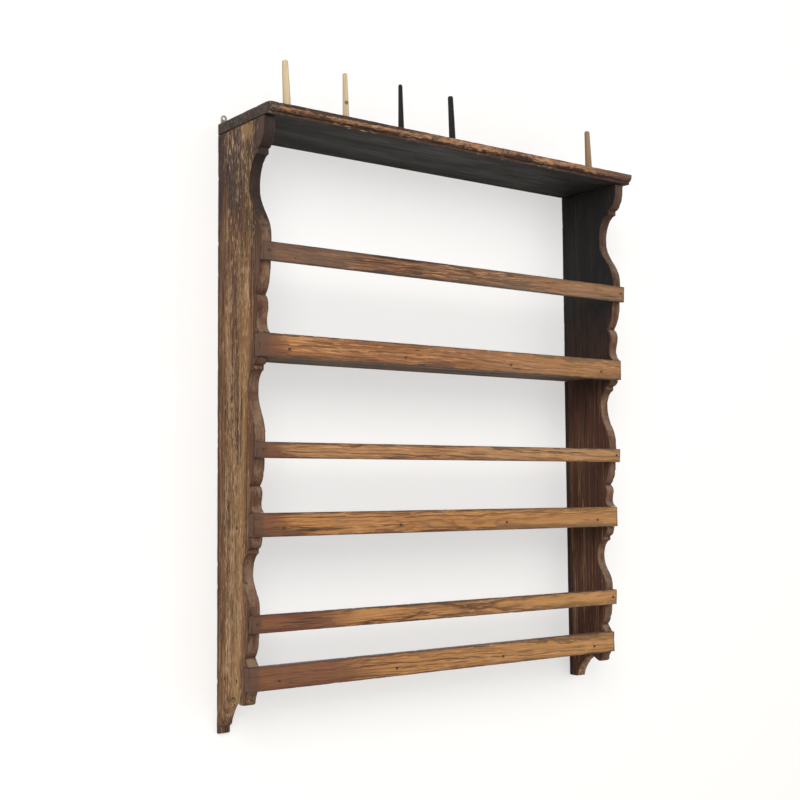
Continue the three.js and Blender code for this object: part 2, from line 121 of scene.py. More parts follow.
class Graph:
    """A node tree, with short calls for the nodes that the finishes are made of."""

    def __init__(self, tree: bpy.types.NodeTree) -> None:
        """Keeps the tree that the calls add to."""
        self.tree = tree

    def node(self, kind: str, *values: object, **settings: object) -> bpy.types.Node:
        """Adds a node.

        Args:
            kind: The node's type without the word ShaderNode.
            values: What is fed to its first inputs, in their order.
            settings: Its properties.

        Returns:
            The new node.
        """
        made = self.tree.nodes.new("ShaderNode" + kind)
        for key, value in settings.items():
            setattr(made, key, value)
        for socket, value in zip(made.inputs, values):
            self.feed(socket, value)
        return made

    def named(self, kind: str, inputs: dict[str, object], **settings: object) -> bpy.types.Node:
        """Adds a node whose inputs are fed by their names."""
        made = self.node(kind, **settings)
        for key, value in inputs.items():
            self.feed(made.inputs[key], value)
        return made

    def feed(self, socket: Socket, value: object) -> None:
        """Links an output to a socket, or sets the socket's own value, a colour by its code."""
        if isinstance(value, bpy.types.NodeSocket):
            self.tree.links.new(value, socket)
        elif value is not None:
            socket.default_value = srgb(value) if isinstance(value, str) else value

    def math(self, operation: str, *values: object) -> Socket:
        """Works out a number from up to three."""
        return self.node("Math", *values, operation=operation).outputs[0]

    def times(self, a: object, b: object) -> Socket:
        """Multiplies two numbers."""
        return self.math("MULTIPLY", a, b)

    def stray(self, value: object, cloud: Socket, width: object) -> Socket:
        """Moves a number up and down with a noise, within a width."""
        return self.math("MULTIPLY_ADD", self.math("SUBTRACT", cloud, 0.5), width, value)

    def vector(self, operation: str, *values: object) -> Socket:
        """Works out a vector, or the length of one, from up to two."""
        made = self.node("VectorMath", *values, operation=operation)
        return made.outputs["Value" if operation == "LENGTH" else "Vector"]

    def split(self, vector: Socket) -> list[Socket]:
        """Takes a vector apart into X, Y and Z."""
        return list(self.node("SeparateXYZ", vector).outputs)

    def join(self, x: object, y: object, z: object) -> Socket:
        """Makes a vector of three numbers."""
        return self.node("CombineXYZ", x, y, z).outputs[0]

    def noise(self, place: Socket, lumps: object, detail: float = 2.0, roughness: float = 0.5,
              distortion: float = 0.0) -> Socket:
        """Samples a cloudy noise.

        Args:
            place: Where to sample.
            lumps: How many lumps there are to a unit, as one number or along each axis.
            detail: How many finer layers are added.
            roughness: How strong the finer layers are.
            distortion: How far the lumps are stirred.

        Returns:
            A number round 0.5.
        """
        scaled = self.vector("MULTIPLY", place, (lumps,) * 3 if isinstance(lumps, float) else lumps)
        inputs = {"Vector": scaled, "Scale": 1.0, "Detail": detail, "Roughness": roughness,
                  "Distortion": distortion}
        return self.named("TexNoise", inputs, noise_dimensions="3D").outputs["Fac"]

    def ease(self, value: object, low: object, high: object, start: object = 0.0,
             end: object = 1.0) -> Socket:
        """Maps a number smoothly from one range to another and holds it there.

        Args:
            value: The number.
            low: Where the smooth step starts.
            high: Where it ends.
            start: The result at low and before it.
            end: The result at high and after it.

        Returns:
            The mapped number.
        """
        return self.node("MapRange", value, low, high, start, end, interpolation_type="SMOOTHSTEP",
                         clamp=True).outputs[0]

    def mix(self, share: object, a: object, b: object, blend: str = "MIX") -> Socket:
        """Mixes two colours."""
        made = self.node("Mix", data_type="RGBA", blend_type=blend, clamp_factor=True)
        self.feed(made.inputs[0], share)
        self.feed(made.inputs[6], a)
        self.feed(made.inputs[7], b)
        return made.outputs[2]

    def blend(self, share: object, a: object, b: object) -> Socket:
        """Mixes two numbers."""
        made = self.node("Mix", data_type="FLOAT", clamp_factor=True)
        self.feed(made.inputs[0], share)
        self.feed(made.inputs[2], a)
        self.feed(made.inputs[3], b)
        return made.outputs[0]

    def arris(self) -> Socket:
        """Gives the distance to the nearest corner, which each mesh carries."""
        return self.node("Attribute", attribute_type="GEOMETRY", attribute_name=ARRIS).outputs["Fac"]

    def place(self, group: bpy.types.NodeTree, **values: object) -> list[Socket]:
        """Places a shared node group with its inputs by name, and gives its outputs."""
        return list(self.named("Group", values, node_tree=group).outputs)


class SharedGroups:
    """The effects that the finishes share, each made once as a node group."""

    def __init__(self) -> None:
        """Builds every group."""
        self.figure = self._figure()
        self.cracks = self._cracks()
        self.flecks = self._flecks()
        self.corners = self._corners()
        self.pits = self._pits()

    @staticmethod
    def _open(name: str, inputs: dict[str, object], outputs: tuple[str, ...]) -> tuple[Graph, dict, dict]:
        """Starts a group with its sockets.

        Args:
            name: The group's name.
            inputs: The defaults of its inputs, numbers or vectors, without the place that all groups take.
            outputs: The names of the outputs, all numbers.

        Returns:
            The graph, its input sockets by name and its output sockets by name.
        """
        tree = bpy.data.node_groups.new(name, "ShaderNodeTree")
        for key, value in {"Vector": (0, 0, 0), **inputs}.items():
            kind = "NodeSocketFloat" if isinstance(value, float) else "NodeSocketVector"
            tree.interface.new_socket(key, in_out="INPUT", socket_type=kind).default_value = value
        for key in outputs:
            tree.interface.new_socket(key, in_out="OUTPUT", socket_type="NodeSocketFloat")
        start = tree.nodes.new("NodeGroupInput")
        end = tree.nodes.new("NodeGroupOutput")
        return Graph(tree), {s.name: s for s in start.outputs}, {s.name: s for s in end.inputs}

    def _figure(self) -> bpy.types.NodeTree:
        """Growth rings of pine as a solid round a pith, with fibres and soft blotches."""
        inputs = {"Pith": (0, 0.02, -0.05), "Ring": 0.0042, "Pale": 0.35, "Wander": 0.014, "Waver": 0.0022}
        g, a, z = self._open("board_figure", inputs, ("Rings", "Fibre", "Blotch", "Streak"))
        p = g.vector("SUBTRACT", a["Vector"], a["Pith"])
        slow = g.noise(p, (1.7, 7.0, 7.0), 1.5)
        quick = g.noise(p, (13.0, 50.0, 50.0))
        _, across, up = g.split(p)
        radius = g.vector("LENGTH", g.join(0.0, across, up))
        radius = g.stray(radius, slow, a["Wander"])
        radius = g.stray(radius, quick, a["Waver"])
        turns = g.math("DIVIDE", radius, a["Ring"])
        part = g.math("FRACT", turns)
        year = g.named("TexWhiteNoise", {"W": g.math("FLOOR", turns)}, noise_dimensions="1D")
        late = g.times(g.ease(part, a["Pale"], 0.9), g.ease(part, 0.93, 1.0, 1.0, 0.0))
        g.feed(z["Rings"], g.times(late, g.ease(year.outputs[0], 0.0, 1.0, 0.45, 1.0)))
        g.feed(z["Fibre"], g.noise(p, (16.0, 900.0, 900.0), 3.0, 0.6))
        g.feed(z["Blotch"], g.noise(p, (5.0, 19.0, 19.0), 4.0, 0.6))
        g.feed(z["Streak"], g.noise(p, (6.0, 150.0, 150.0), 3.0, 0.6))
        return g.tree

    def _cracks(self) -> bpy.types.NodeTree:
        """Fine dark splits that run with the grain and come and go."""
        g, a, z = self._open("seasoning_cracks", {"Amount": 0.5}, ("Mask",))
        split = g.noise(a["Vector"], (3.0, 210.0, 210.0), 1.0)
        line = g.math("ABSOLUTE", g.math("SUBTRACT", split, 0.5))
        there = g.noise(a["Vector"], (7.0, 60.0, 60.0))
        width = g.times(g.ease(there, 0.5, 0.72), g.times(a["Amount"], 0.05))
        g.feed(z["Mask"], g.ease(g.math("SUBTRACT", line, width), -0.008, 0.004, 1.0, 0.0))
        return g.tree

    def _flecks(self) -> bpy.types.NodeTree:
        """Short streaks with the grain that crowd together in places and thin out in others."""
        inputs = {"Along": 38.0, "Across": 180.0, "Level": 0.58, "Crowd": 0.5}
        g, a, z = self._open("grain_flecks", inputs, ("Mask",))
        size = g.join(a["Along"], a["Across"], a["Across"])
        fine = g.noise(a["Vector"], size, 3.0, 0.62, 0.3)
        broad = g.noise(g.vector("MULTIPLY", a["Vector"], size), (0.17, 0.13, 0.13), 2.0, 0.55)
        level = g.stray(fine, broad, a["Crowd"])
        g.feed(z["Mask"], g.ease(g.math("SUBTRACT", level, a["Level"]), -0.05, 0.07))
        return g.tree

    def _corners(self) -> bpy.types.NodeTree:
        """Rubbed corners, wider in some places than in others."""
        g, a, z = self._open("rubbed_arris", {"Width": 0.004}, ("Mask",))
        wide = g.noise(a["Vector"], 40.0, 3.0, 0.6)
        fray = g.noise(a["Vector"], 400.0)
        limit = g.times(a["Width"], g.ease(wide, 0.35, 0.7, 0.1, 1.5))
        worn = g.stray(g.arris(), fray, g.times(a["Width"], 0.9))
        g.feed(z["Mask"], g.ease(g.math("DIVIDE", worn, limit), 0.35, 1.0, 1.0, 0.0))
        return g.tree

    def _pits(self) -> bpy.types.NodeTree:
        """Scattered small dents and worm holes of uneven size."""
        spacing, size = 0.02, 0.0009
        g, a, z = self._open("dents_and_holes", {}, ("Mask",))
        scaled = g.vector("DIVIDE", a["Vector"], (spacing,) * 3)
        cell = g.named("TexVoronoi", {"Vector": scaled, "Scale": 1.0}, feature="F1", voronoi_dimensions="3D")
        pick = g.split(cell.outputs["Color"])[0]
        radius = g.math("DIVIDE", g.times(size, g.ease(pick, 0.45, 1.0, 0.0, 1.6)), spacing)
        off = g.math("SUBTRACT", cell.outputs["Distance"], radius)
        g.feed(z["Mask"], g.ease(off, -0.012, 0.006, 1.0, 0.0))
        return g.tree


class Paint(Graph):
    """The node tree of a new material, with the shared groups at hand."""

    def __init__(self, name: str, groups: SharedGroups | None = None) -> None:
        """Makes the material."""
        self.made = bpy.data.materials.new(name)
        self.made.use_nodes = True
        super().__init__(self.made.node_tree)
        self.tree.nodes.clear()
        self.groups = groups

    def where(self) -> Socket:
        """Gives the place on the piece."""
        return self.node("TexCoord").outputs["Object"]

    def facing(self) -> list[Socket]:
        """Gives the X, Y and Z of the way the surface faces."""
        return self.split(self.node("TexCoord").outputs["Normal"])

    def flecks(self, place: Socket, along: float, across: float, level: object, crowd: float = 0.5) -> Socket:
        """Marks short streaks with the grain."""
        return self.place(self.groups.flecks, Vector=place, Along=along, Across=across, Level=level,
                          Crowd=crowd)[0]

    def coats(self, colour: object, *coats: tuple[object, object]) -> Socket:
        """Lays coats, each a share and a colour, over a colour one after the other."""
        for share, coat in coats:
            colour = self.mix(share, colour, coat)
        return colour

    def surface(self, height: Socket, strength: float, depth: float, inputs: dict[str, object]) -> None:
        """Ends the material with its surface.

        Args:
            height: The height of its relief.
            strength: How strongly the relief shows.
            depth: How deep the relief is.
            inputs: The surface's inputs by name.
        """
        bump = self.named("Bump", {"Strength": strength, "Distance": depth, "Height": height})
        self.end(self.named("BsdfPrincipled", {**inputs, "Normal": bump.outputs[0]}))

    def end(self, shader: bpy.types.Node) -> None:
        """Makes a shader the material's own."""
        self.node("OutputMaterial", shader.outputs[0])


@dataclass(frozen=True)
class Finish:
    """What a piece is finished with."""

    def paint(self, g: Paint) -> None:
        """Adds the finish's nodes to a new material."""
        raise NotImplementedError

    def material(self, name: str, groups: SharedGroups) -> bpy.types.Material:
        """Makes the finish as a material with a name."""
        g = Paint(name, groups)
        self.paint(g)
        return g.made


@dataclass(frozen=True)
class PineFinish(Finish):
    """Old pine with what is left of its stain and wax.

    The colours are those of the pale wood of a ring, its dark wood, the old stain that lies over both, the
    light and the dark flecks in the grain, the darkened corners, and the dirt in cracks and hollows.

    A ring is a year's width, of which a part stays pale. The rings waver and the fibres slope. The shares
    say how far the figure, the streaks, the stain, the flecks and the corners show. A lower level gives
    more flecks, and along and across say how many there are to a metre.
    """

    early: str
    late: str
    stain: str
    light: str
    shade: str
    corner: str
    dirt: str
    ring: float = 3.4 * MM
    pale: float = 0.35
    figure: float = 0.8
    waver: float = 2.2 * MM
    streaks: float = 0.55
    slope: float = 0.0
    stained: float = 0.3
    flecked: float = 0.72
    light_level: float = 0.6
    shade_level: float = 0.58
    along: float = 11.0
    across: float = 420.0
    shortness: float = 2.5
    corner_width: float = 3.0 * MM
    corner_share: float = 0.7
    dirt_share: float = 0.85
    crack: float = 0.5
    rough: float = 0.6
    relief: float = 0.5
    grain: Grain = Grain.ALONG_WALL
    pith: Triple = (0.0, 0.03, -0.06)

    def _aligned(self, g: Paint) -> Socket:
        """Gives the place on the piece with its first axis along the fibres."""
        place = g.where()
        if self.grain is Grain.ALONG_WALL:
            return place
        x, y, z = g.split(place)
        return g.join(z, x, y)

    def tint(self, g: Paint, colour: Socket, place: Socket) -> Socket:
        """Lays the darker and lighter parts of a piece over its wood. A plain board has none.

        Args:
            g: The finish's graph.
            colour: The wood's colour.
            place: The place on the piece, with its first axis along the fibres.

        Returns:
            The colour with those parts.
        """
        return colour

    def paint(self, g: Paint) -> None:
        """Paints the wood, its stain and flecks, what the piece has of its own, its corners and cracks."""
        place = self._aligned(g)
        fibres = g.vector("ADD", place, g.join(0.0, 0.0, g.times(g.split(place)[0], self.slope)))
        rings, fibre, blotch, streak = g.place(g.groups.figure, Vector=fibres, Pith=self.pith, Ring=self.ring,
                                               Pale=self.pale, Waver=self.waver)
        colour = g.coats(self.early, (g.times(rings, self.figure), self.late),
                         (g.ease(streak, 0.5, 0.62, 0.0, self.streaks), self.late))
        colour = g.mix(1.0, colour, g.ease(fibre, 0.3, 0.7, 0.72, 1.2), "MULTIPLY")
        spread = 0.4 * self.stained
        light = g.flecks(fibres, self.along * self.shortness, self.across, self.light_level)
        aside = g.vector("ADD", fibres, (0.37, 0.21, 0.13))
        shade = g.flecks(aside, self.along, self.across, self.shade_level)
        colour = g.coats(colour, (g.ease(blotch, 0.62 - spread, 0.95 - spread), self.stain),
                         (g.times(light, self.flecked), self.light), (g.times(shade, self.flecked), self.shade))
        corners = g.place(g.groups.corners, Vector=place, Width=self.corner_width)[0]
        cracks = g.place(g.groups.cracks, Vector=fibres, Amount=self.crack)[0]
        dark = g.math("MAXIMUM", cracks, g.place(g.groups.pits, Vector=place)[0])
        colour = g.coats(self.tint(g, colour, place), (g.times(corners, self.corner_share), self.corner),
                         (g.times(dark, self.dirt_share), self.dirt))
        rough = g.blend(g.ease(blotch, 0.35, 0.65), self.rough - 0.1, self.rough + 0.1)
        height = g.times(g.math("SUBTRACT", rings, g.times(fibre, 0.9)), 0.5)
        height = g.math("MULTIPLY_ADD", g.math("ADD", shade, light), -0.3, height)
        height = g.math("MULTIPLY_ADD", dark, -1.6, height)
        g.surface(height, self.relief, 0.6 * MM, {
            "Base Color": colour, "Specular IOR Level": 0.3, "Roughness": g.blend(shade, rough, 0.85)})


@dataclass(frozen=True)
class SideFinish(PineFinish):
    """A side board: flecked outside and darker at its top, red-brown on its shaped edge with painted light and
    shade by facing, dark inside with painted shade under the top board and against the wall.
    """

    end: End = End.LEFT
    gold: str = "#ba9872"
    wash: str = "#6a5a58"
    dim: str = "#3a2a25"
    ruddy: str = "#5a3222"
    honey: str = "#a17a48"
    patch: str = "#94704c"
    rear: str = "#3a241c"
    edge: str = "#735a47"
    edge_top: str = "#1c110f"
    # Painted light and shade on the shaped edge: paler where it faces up, darker where it faces down; the dark
    # one also tints the edge at random
    edge_painted_light: str = "#8a755e"
    edge_dark_and_shade: str = "#4a2b21"
    edge_border: str = "#2e1d17"
    # The inner face's colours: its dark stain at the foot, and near-black with painted shade towards the top
    # and along the back edge
    inside_top: str = "#0f0d0e"
    inside_foot: str = "#4a2b1c"

    def _outside(self, g: Paint, colour: Socket, place: Socket) -> Socket:
        """Colours the outer face: a dark top, a lighter worn middle, golden flecks, and painted shade along the
        back edge where it meets the wall.

        Args:
            g: The finish's graph.
            colour: The wood's colour.
            place: The place on the board, with its first axis upwards.

        Returns:
            The outer face's colour.
        """
        height, _, depth = g.split(place)
        low = g.stray(height, g.noise(place, (9.0, 40.0, 40.0), 3.0, 0.6), 0.3)
        wide = g.noise(place, (2.2, 34.0, 34.0), 2.0, 0.55)
        ragged = g.noise(place, (90.0, 240.0, 240.0), 3.0, 0.6)
        below = g.ease(height, -0.5, -0.2, 1.0, 0.2)
        front = g.math("MULTIPLY_ADD", height, -TAPER, EDGE)
        share = g.math("DIVIDE", depth, front)
        stripe = g.times(g.ease(share, 0.42, 0.66), g.ease(share, 0.72, 0.86, 1.0, 0.0))
        stripe = g.times(g.times(stripe, g.ease(wide, 0.35, 0.6)), below)
        worn = g.times(g.ease(share, 0.1, 0.3), g.ease(share, 0.7, 0.98, 1.0, 0.0))
        level = g.math("MULTIPLY_ADD", worn, -0.125, g.ease(height, -0.42, -0.2, 0.668, 0.692))
        gold = g.flecks(g.vector("ADD", place, (0.11, 0.52, 0.29)), 60.0, 520.0, level, 0.4)
        spot = g.vector("DIVIDE", g.vector("SUBTRACT", place, (-0.028, 0.0, -0.112)), (0.022, 1000.0, 0.025))
        spot = g.stray(g.vector("LENGTH", spot), ragged, 3.0)
        near = g.stray(g.math("SUBTRACT", depth, front), ragged, 0.006)
        # Painted shade: a dark strip along the back edge, where the board meets the wall
        rear = g.ease(g.stray(depth, ragged, 0.005), -0.011, -0.006, 0.0, 0.85)
        return g.coats(
            colour,
            (g.ease(low, -0.4, -0.06, 0.0, 0.9), g.mix(1.0, colour, self.wash, "MULTIPLY")),
            (g.ease(low, -0.17, -0.1, 0.0, 0.72), self.dim),
            (g.times(g.times(g.ease(wide, 0.4, 0.28), below), 0.5), self.ruddy),
            (g.times(stripe, 0.6), self.honey),
            (g.times(gold, 0.95), self.gold),
            (g.ease(spot, 0.5, 1.0, 0.85, 0.0), self.patch),
            (g.ease(near, 0.004, 0.026, 0.6, 0.0), self.stain),
            # Painted shade along the back edge, against the wall
            (g.times(rear, g.ease(height, -1.12, -1.06)), self.rear),
            (g.ease(g.stray(height, ragged, 0.12), -1.135, -1.09, 0.6, 0.0), self.rear),
        )

    def tint(self, g: Paint, colour: Socket, place: Socket) -> Socket:
        """Gives the outer face, the shaped edge and the inner face their colours."""
        height, _, depth = g.split(place)
        side, _, up = g.facing()
        inward = g.times(side, -float(self.end.value))
        cloud = g.noise(place, (22.0, 60.0, 60.0), 3.0, 0.6)
        fray = g.noise(place, (160.0, 300.0, 300.0), 3.0, 0.6)
        low = g.stray(height, cloud, 0.3)
        dark = 0.94 if self.end is End.LEFT else 0.5
        edge = g.coats(
            self.edge,
            (g.ease(cloud, 0.38, 0.62), self.edge_dark_and_shade),
            # Painted light and shade: paler where the edge faces up, darker where it faces down
            (g.ease(up, 0.0, 0.5, 0.0, 0.6), self.edge_painted_light),
            (g.ease(up, -0.75, -0.1, 0.85, 0.0), self.edge_dark_and_shade),
            (0.25, colour),
            (g.ease(cloud, 0.52, 0.68, 0.0, 0.45), self.ruddy),
            (g.ease(g.stray(g.arris(), fray, 0.008), 0.0005, 0.004, 0.8, 0.0), self.edge_border),
            (g.ease(low, -0.33, -0.14, 0.0, dark), self.edge_top),
        )
        lines = g.times(g.flecks(place, 7.0, 560.0, 0.54), g.ease(height, -0.9, -0.25, 0.85, 0.04))
        # The inner face: dark stain, going near-black towards the top as painted shade under the top board
        inside = g.coats(
            self.inside_foot,
            (g.ease(low, -0.62, -0.22), self.inside_top),
            (lines, colour),
            # Painted shade along the back edge, in the corner against the wall
            (g.ease(g.stray(depth, fray, 0.012), -0.016, -0.006, 0.0, 0.75), self.inside_top),
        )
        on_edge = g.times(g.ease(inward, -0.8, -0.3), g.ease(depth, -0.05, -0.06))
        return g.coats(self._outside(g, colour, place), (on_edge, edge), (g.ease(inward, 0.3, 0.8), inside))


@dataclass(frozen=True)
class FrontFinish(PineFinish):
    """A rail or a lip: waxed in front, darker along its corners, at its ends, above and underneath."""

    foot: float = 0.0
    red_reach: float = 0.07
    red_share: float = 0.8
    end_dark: str = "#4f3829"
    band: str = "#4c2d1e"
    red: str = "#613926"
    gold: str = "#b1884f"
    # The upper and lower faces' darker grey-brown, which on the lower faces is painted shade
    under: str = "#4f4235"

    def tint(self, g: Paint, colour: Socket, place: Socket) -> Socket:
        """Lays the dark bands along the corners, the dark ends, and a darker grey-brown on the upper and lower
        faces, which on the lower faces is painted shade.
        """
        along, _, height = g.split(place)
        ragged = g.noise(place, (22.0, 260.0, 260.0), 3.0, 0.6)
        spread = g.noise(place, (6.0, 90.0, 90.0), 3.0, 0.6)
        near = g.stray(g.arris(), ragged, 0.02)
        above = g.stray(g.math("SUBTRACT", height, self.foot), spread, -0.09)
        reach, left, right = (g.stray(along, ragged, width) for width in (0.08, 0.02, 0.012))
        start, stop = (share * self.red_reach - SIDE_FACE for share in (0.6, 1.3))
        upright = g.math("ABSOLUTE", g.facing()[2])
        return g.coats(
            colour,
            (g.ease(near, 0.0, 0.006, 0.7, 0.0), self.band),
            (g.ease(above, 0.0, 0.005, 0.7, 0.0), self.band),
            (g.ease(reach, -0.1, 0.35, 0.0, 0.22), self.gold),
            (g.ease(reach, start, stop, self.red_share, 0.0), self.red),
            (g.ease(left, 0.016 - SIDE_FACE, 0.028 - SIDE_FACE, 0.75, 0.0), self.end_dark),
            (g.ease(right, SIDE_FACE - 0.005, SIDE_FACE, 0.0, 0.75), self.end_dark),
            # Upper and lower faces darker; on the lower faces this is painted shade
            (g.ease(upright, 0.45, 0.9, 0.0, 0.85), self.under),
        )


@dataclass(frozen=True)
class TopFinish(PineFinish):
    """The top board: nearly black underneath, dark stain deepened with painted shade, its moulded edge worn
    through its dark stain to the wood.
    """

    # Nearly black underneath: dark stain deepened with painted shade
    under: str = "#161411"
    under_streak: str = "#4a3727"
    worn: str = "#a27350"
    tan: str = "#b8936c"
    strip: str = "#2b211b"
    fleck: str = "#7d6853"
    mould: str = "#7b6c55"

    def _front(self, g: Paint, colour: Socket, place: Socket, grit: Socket) -> Socket:
        """Colours the moulded front: worn in a belt that has a dark rim above it on the left."""
        along, _, up = g.split(place)
        ragged = g.noise(place, (90.0, 480.0, 480.0), 3.0, 0.65, 0.9)
        patchy = g.noise(place, (11.0, 70.0, 70.0))
        belt = g.times(g.ease(up, -0.005, 0.002), g.ease(up, 0.007, 0.0105, 1.0, 0.4))
        rim = g.times(g.ease(up, 0.003, 0.006), g.ease(along, -0.24, -0.04, 1.0, 0.0))
        level = g.math("MULTIPLY_ADD", belt, 0.2, g.stray(ragged, patchy, 0.5))
        level = g.math("MULTIPLY_ADD", rim, -0.3, level)
        left = g.stray(along, patchy, 0.05)
        return g.coats(
            colour,
            (g.ease(patchy, 0.35, 0.65), self.strip),
            (g.ease(level, 0.58, 0.76, 0.0, 0.9), self.worn),
            (g.times(g.flecks(place, 70.0, 420.0, 0.63), 0.8), self.tan),
            (g.ease(left, -0.455, -0.43, 0.75, 0.0), g.mix(g.ease(grit, 0.42, 0.66), self.dirt, self.mould)),
            (g.ease(left, 0.3, 0.45, 0.0, 0.75), colour),
            (g.times(rim, 0.6), self.strip),
        )

    def tint(self, g: Paint, colour: Socket, place: Socket) -> Socket:
        """Gives the front edge, the left end and the lower face their colours."""
        along, depth, _ = g.split(place)
        side, _, up = g.facing()
        grit = g.noise(place, (420.0, 420.0, 200.0), 3.0, 0.65)
        split = g.math("ABSOLUTE", g.math("ADD", depth, 0.08))
        end = g.coats(self.strip, (g.ease(grit, 0.52, 0.68, 0.0, 0.8), self.fleck),
                      (g.ease(split, 0.0008, 0.002, 0.9, 0.0), self.dirt))
        streaks = g.times(g.flecks(place, 9.0, 110.0, 0.62), g.ease(along, -0.3, 0.1, 0.15, 0.5))
        # The lower face: dark stain with painted shade, and its streaks
        down = g.times(g.ease(g.times(up, -1.0), 0.35, 0.9), g.ease(depth, -0.181, -0.178))
        return g.coats(self._front(g, colour, place, grit), (g.ease(side, -0.8, -0.4, 1.0, 0.0), end),
                       (down, g.mix(streaks, self.under, self.under_streak)))


@dataclass(frozen=True)
class Knot:
    """A knot, by its place in the row's frame and its size."""

    place: Triple
    size: float
    heart: str = "#3d2a1a"
    share: float = 0.75

    def mask(self, g: Paint, place: Socket) -> Socket:
        """Marks the heart of the knot in a piece whose fibres run upwards."""
        x, y, z = self.place
        off = g.vector("MULTIPLY", g.vector("SUBTRACT", place, (z, x, y)), (0.55, 0.25, 1.0))
        reach = g.math("DIVIDE", g.vector("LENGTH", off), self.size)
        rough = g.math("MULTIPLY_ADD", g.noise(place, 300.0), 0.5, reach)
        return g.times(g.ease(rough, 0.75, 1.15, 1.0, 0.0), self.share)


@dataclass(frozen=True)
class PegFinish(Finish):
    """A whittled peg, pale and bare or stained, with its fibres running up it."""

    wood: str
    fibre: str
    stain: str
    stained: float = 0.0
    rough: float = 0.7
    knot: Knot | None = None

    def paint(self, g: Paint) -> None:
        """Paints the wood, the stain at its foot and in smears, and the knot if there is one."""
        x, y, z = g.split(g.where())
        place = g.join(z, x, y)
        rings, fibre, blotch, streak = g.place(g.groups.figure, Vector=place, Pith=(0.0, 0.01, -0.12),
                                               Ring=2.2 * MM)
        spread = 0.5 * self.stained
        smear = g.ease(blotch, 0.75 - spread, 1.0 - spread)
        colour = g.coats(self.wood, (g.times(rings, 0.5), self.fibre),
                         (g.ease(streak, 0.45, 0.7, 0.0, 0.6), self.fibre),
                         (g.math("MAXIMUM", g.ease(z, 0.012, 0.03, 0.5, 0.0), smear), self.stain))
        if self.knot is not None:
            colour = g.mix(self.knot.mask(g, place), colour, self.knot.heart)
        g.surface(g.math("SUBTRACT", rings, fibre), 0.5, 0.3 * MM, {
            "Base Color": colour, "Specular IOR Level": 0.2,
            "Roughness": g.blend(fibre, self.rough - 0.1, self.rough + 0.1)})


@dataclass(frozen=True)
class IronFinish(Finish):
    """Forged iron, dark and dull, with rust in its hollows and a little bright metal where it is rubbed."""

    metal: str = "#8d857c"
    rust: str = "#7a5b47"
    bright: str = "#c2bab0"
    rubbed: bool = True

    def paint(self, g: Paint) -> None:
        """Paints the metal, its rust and its rubbed corners."""
        place = g.where()
        cloud = g.noise(place, 260.0, 4.0, 0.65)
        grit = g.noise(place, 1500.0, 3.0, 0.6)
        rusty = g.ease(cloud, 0.45, 0.62)
        colour = g.mix(rusty, self.metal, self.rust)
        if self.rubbed:
            corners = g.place(g.groups.corners, Vector=place, Width=0.8 * MM)[0]
            colour = g.mix(g.times(corners, 0.5), colour, self.bright)
        g.surface(g.math("ADD", cloud, grit), 0.5, 0.2 * MM, {
            "Base Color": colour, "Metallic": g.blend(rusty, 0.8, 0.1), "Roughness": g.blend(rusty, 0.5, 0.85)})


def cut(bm: bmesh.types.BMesh, place: Triple | Vector, normal: Triple | Vector, near: float = NEAR) -> None:
    """Cuts a mesh's faces along a plane, and takes a vertex nearer to it than is given to lie on it."""
    geometry = bm.verts[:] + bm.edges[:] + bm.faces[:]
    bmesh.ops.bisect_plane(bm, geom=geometry, dist=near, plane_co=place, plane_no=normal)


def soften(bm: bmesh.types.BMesh, corners: list[bmesh.types.BMEdge], radius: float, clamp: bool) -> None:
    """Rounds corners off in two steps, and keeps clear of their neighbours if it is told to."""
    bmesh.ops.bevel(bm, geom=corners, offset=radius, offset_type="OFFSET", affect="EDGES", segments=2,
                    profile=0.5, material=-1, clamp_overlap=clamp)


def finished(bm: bmesh.types.BMesh, name: str, material: bpy.types.Material) -> bpy.types.Object:
    """Turns a mesh, which is freed, into an object in the scene with a finish."""
    mesh = bpy.data.meshes.new(name)
    bm.to_mesh(mesh)
    bm.free()
    mesh.materials.append(material)
    piece = bpy.data.objects.new(name, mesh)
    bpy.context.scene.collection.objects.link(piece)
    return piece


def weigh(piece: bpy.types.Object) -> None:
    """Shades the large faces flat up to their rounded corners."""
    modifier = piece.modifiers.new("weigh", "WEIGHTED_NORMAL")
    modifier.mode = "FACE_AREA"
    modifier.keep_sharp = True
    graph = bpy.context.evaluated_depsgraph_get()
    weighed = bpy.data.meshes.new_from_object(piece.evaluated_get(graph))
    plain = piece.data
    piece.modifiers.clear()
    piece.data = weighed
    weighed.name = piece.name
    bpy.data.meshes.remove(plain)


@dataclass
class Identity:
    """What a piece is called and what it stands for.

    Args:
        node: The CAD node that it replaces.
        name: Its name.
        slot: The record's material slot; not used.
    """

    node: str
    name: str
    slot: str

    def give(self, bm: bmesh.types.BMesh, material: bpy.types.Material, sharp: float,
             gaps: np.ndarray | None = None) -> None:
        """Turns a finished mesh into the piece.

        Args:
            bm: The mesh.
            material: The piece's finish.
            sharp: The angle over which its edges stay sharp.
            gaps: Each vertex's distance to the nearest corner, if the finish asks for it.
        """
        bm.normal_update()
        for face in bm.faces:
            face.smooth = True
        for edge in bm.edges:
            edge.smooth = edge.calc_face_angle(0.0) < sharp
        piece = finished(bm, self.name, material)
        if gaps is not None:
            layer = piece.data.attributes.new(ARRIS, "FLOAT", "POINT")
            layer.data.foreach_set("value", gaps.astype(np.float32))
        weigh(piece)
        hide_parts(self.node)
        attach(piece, "root")
        LOG.info("%s: %d faces", self.name, len(piece.data.polygons))


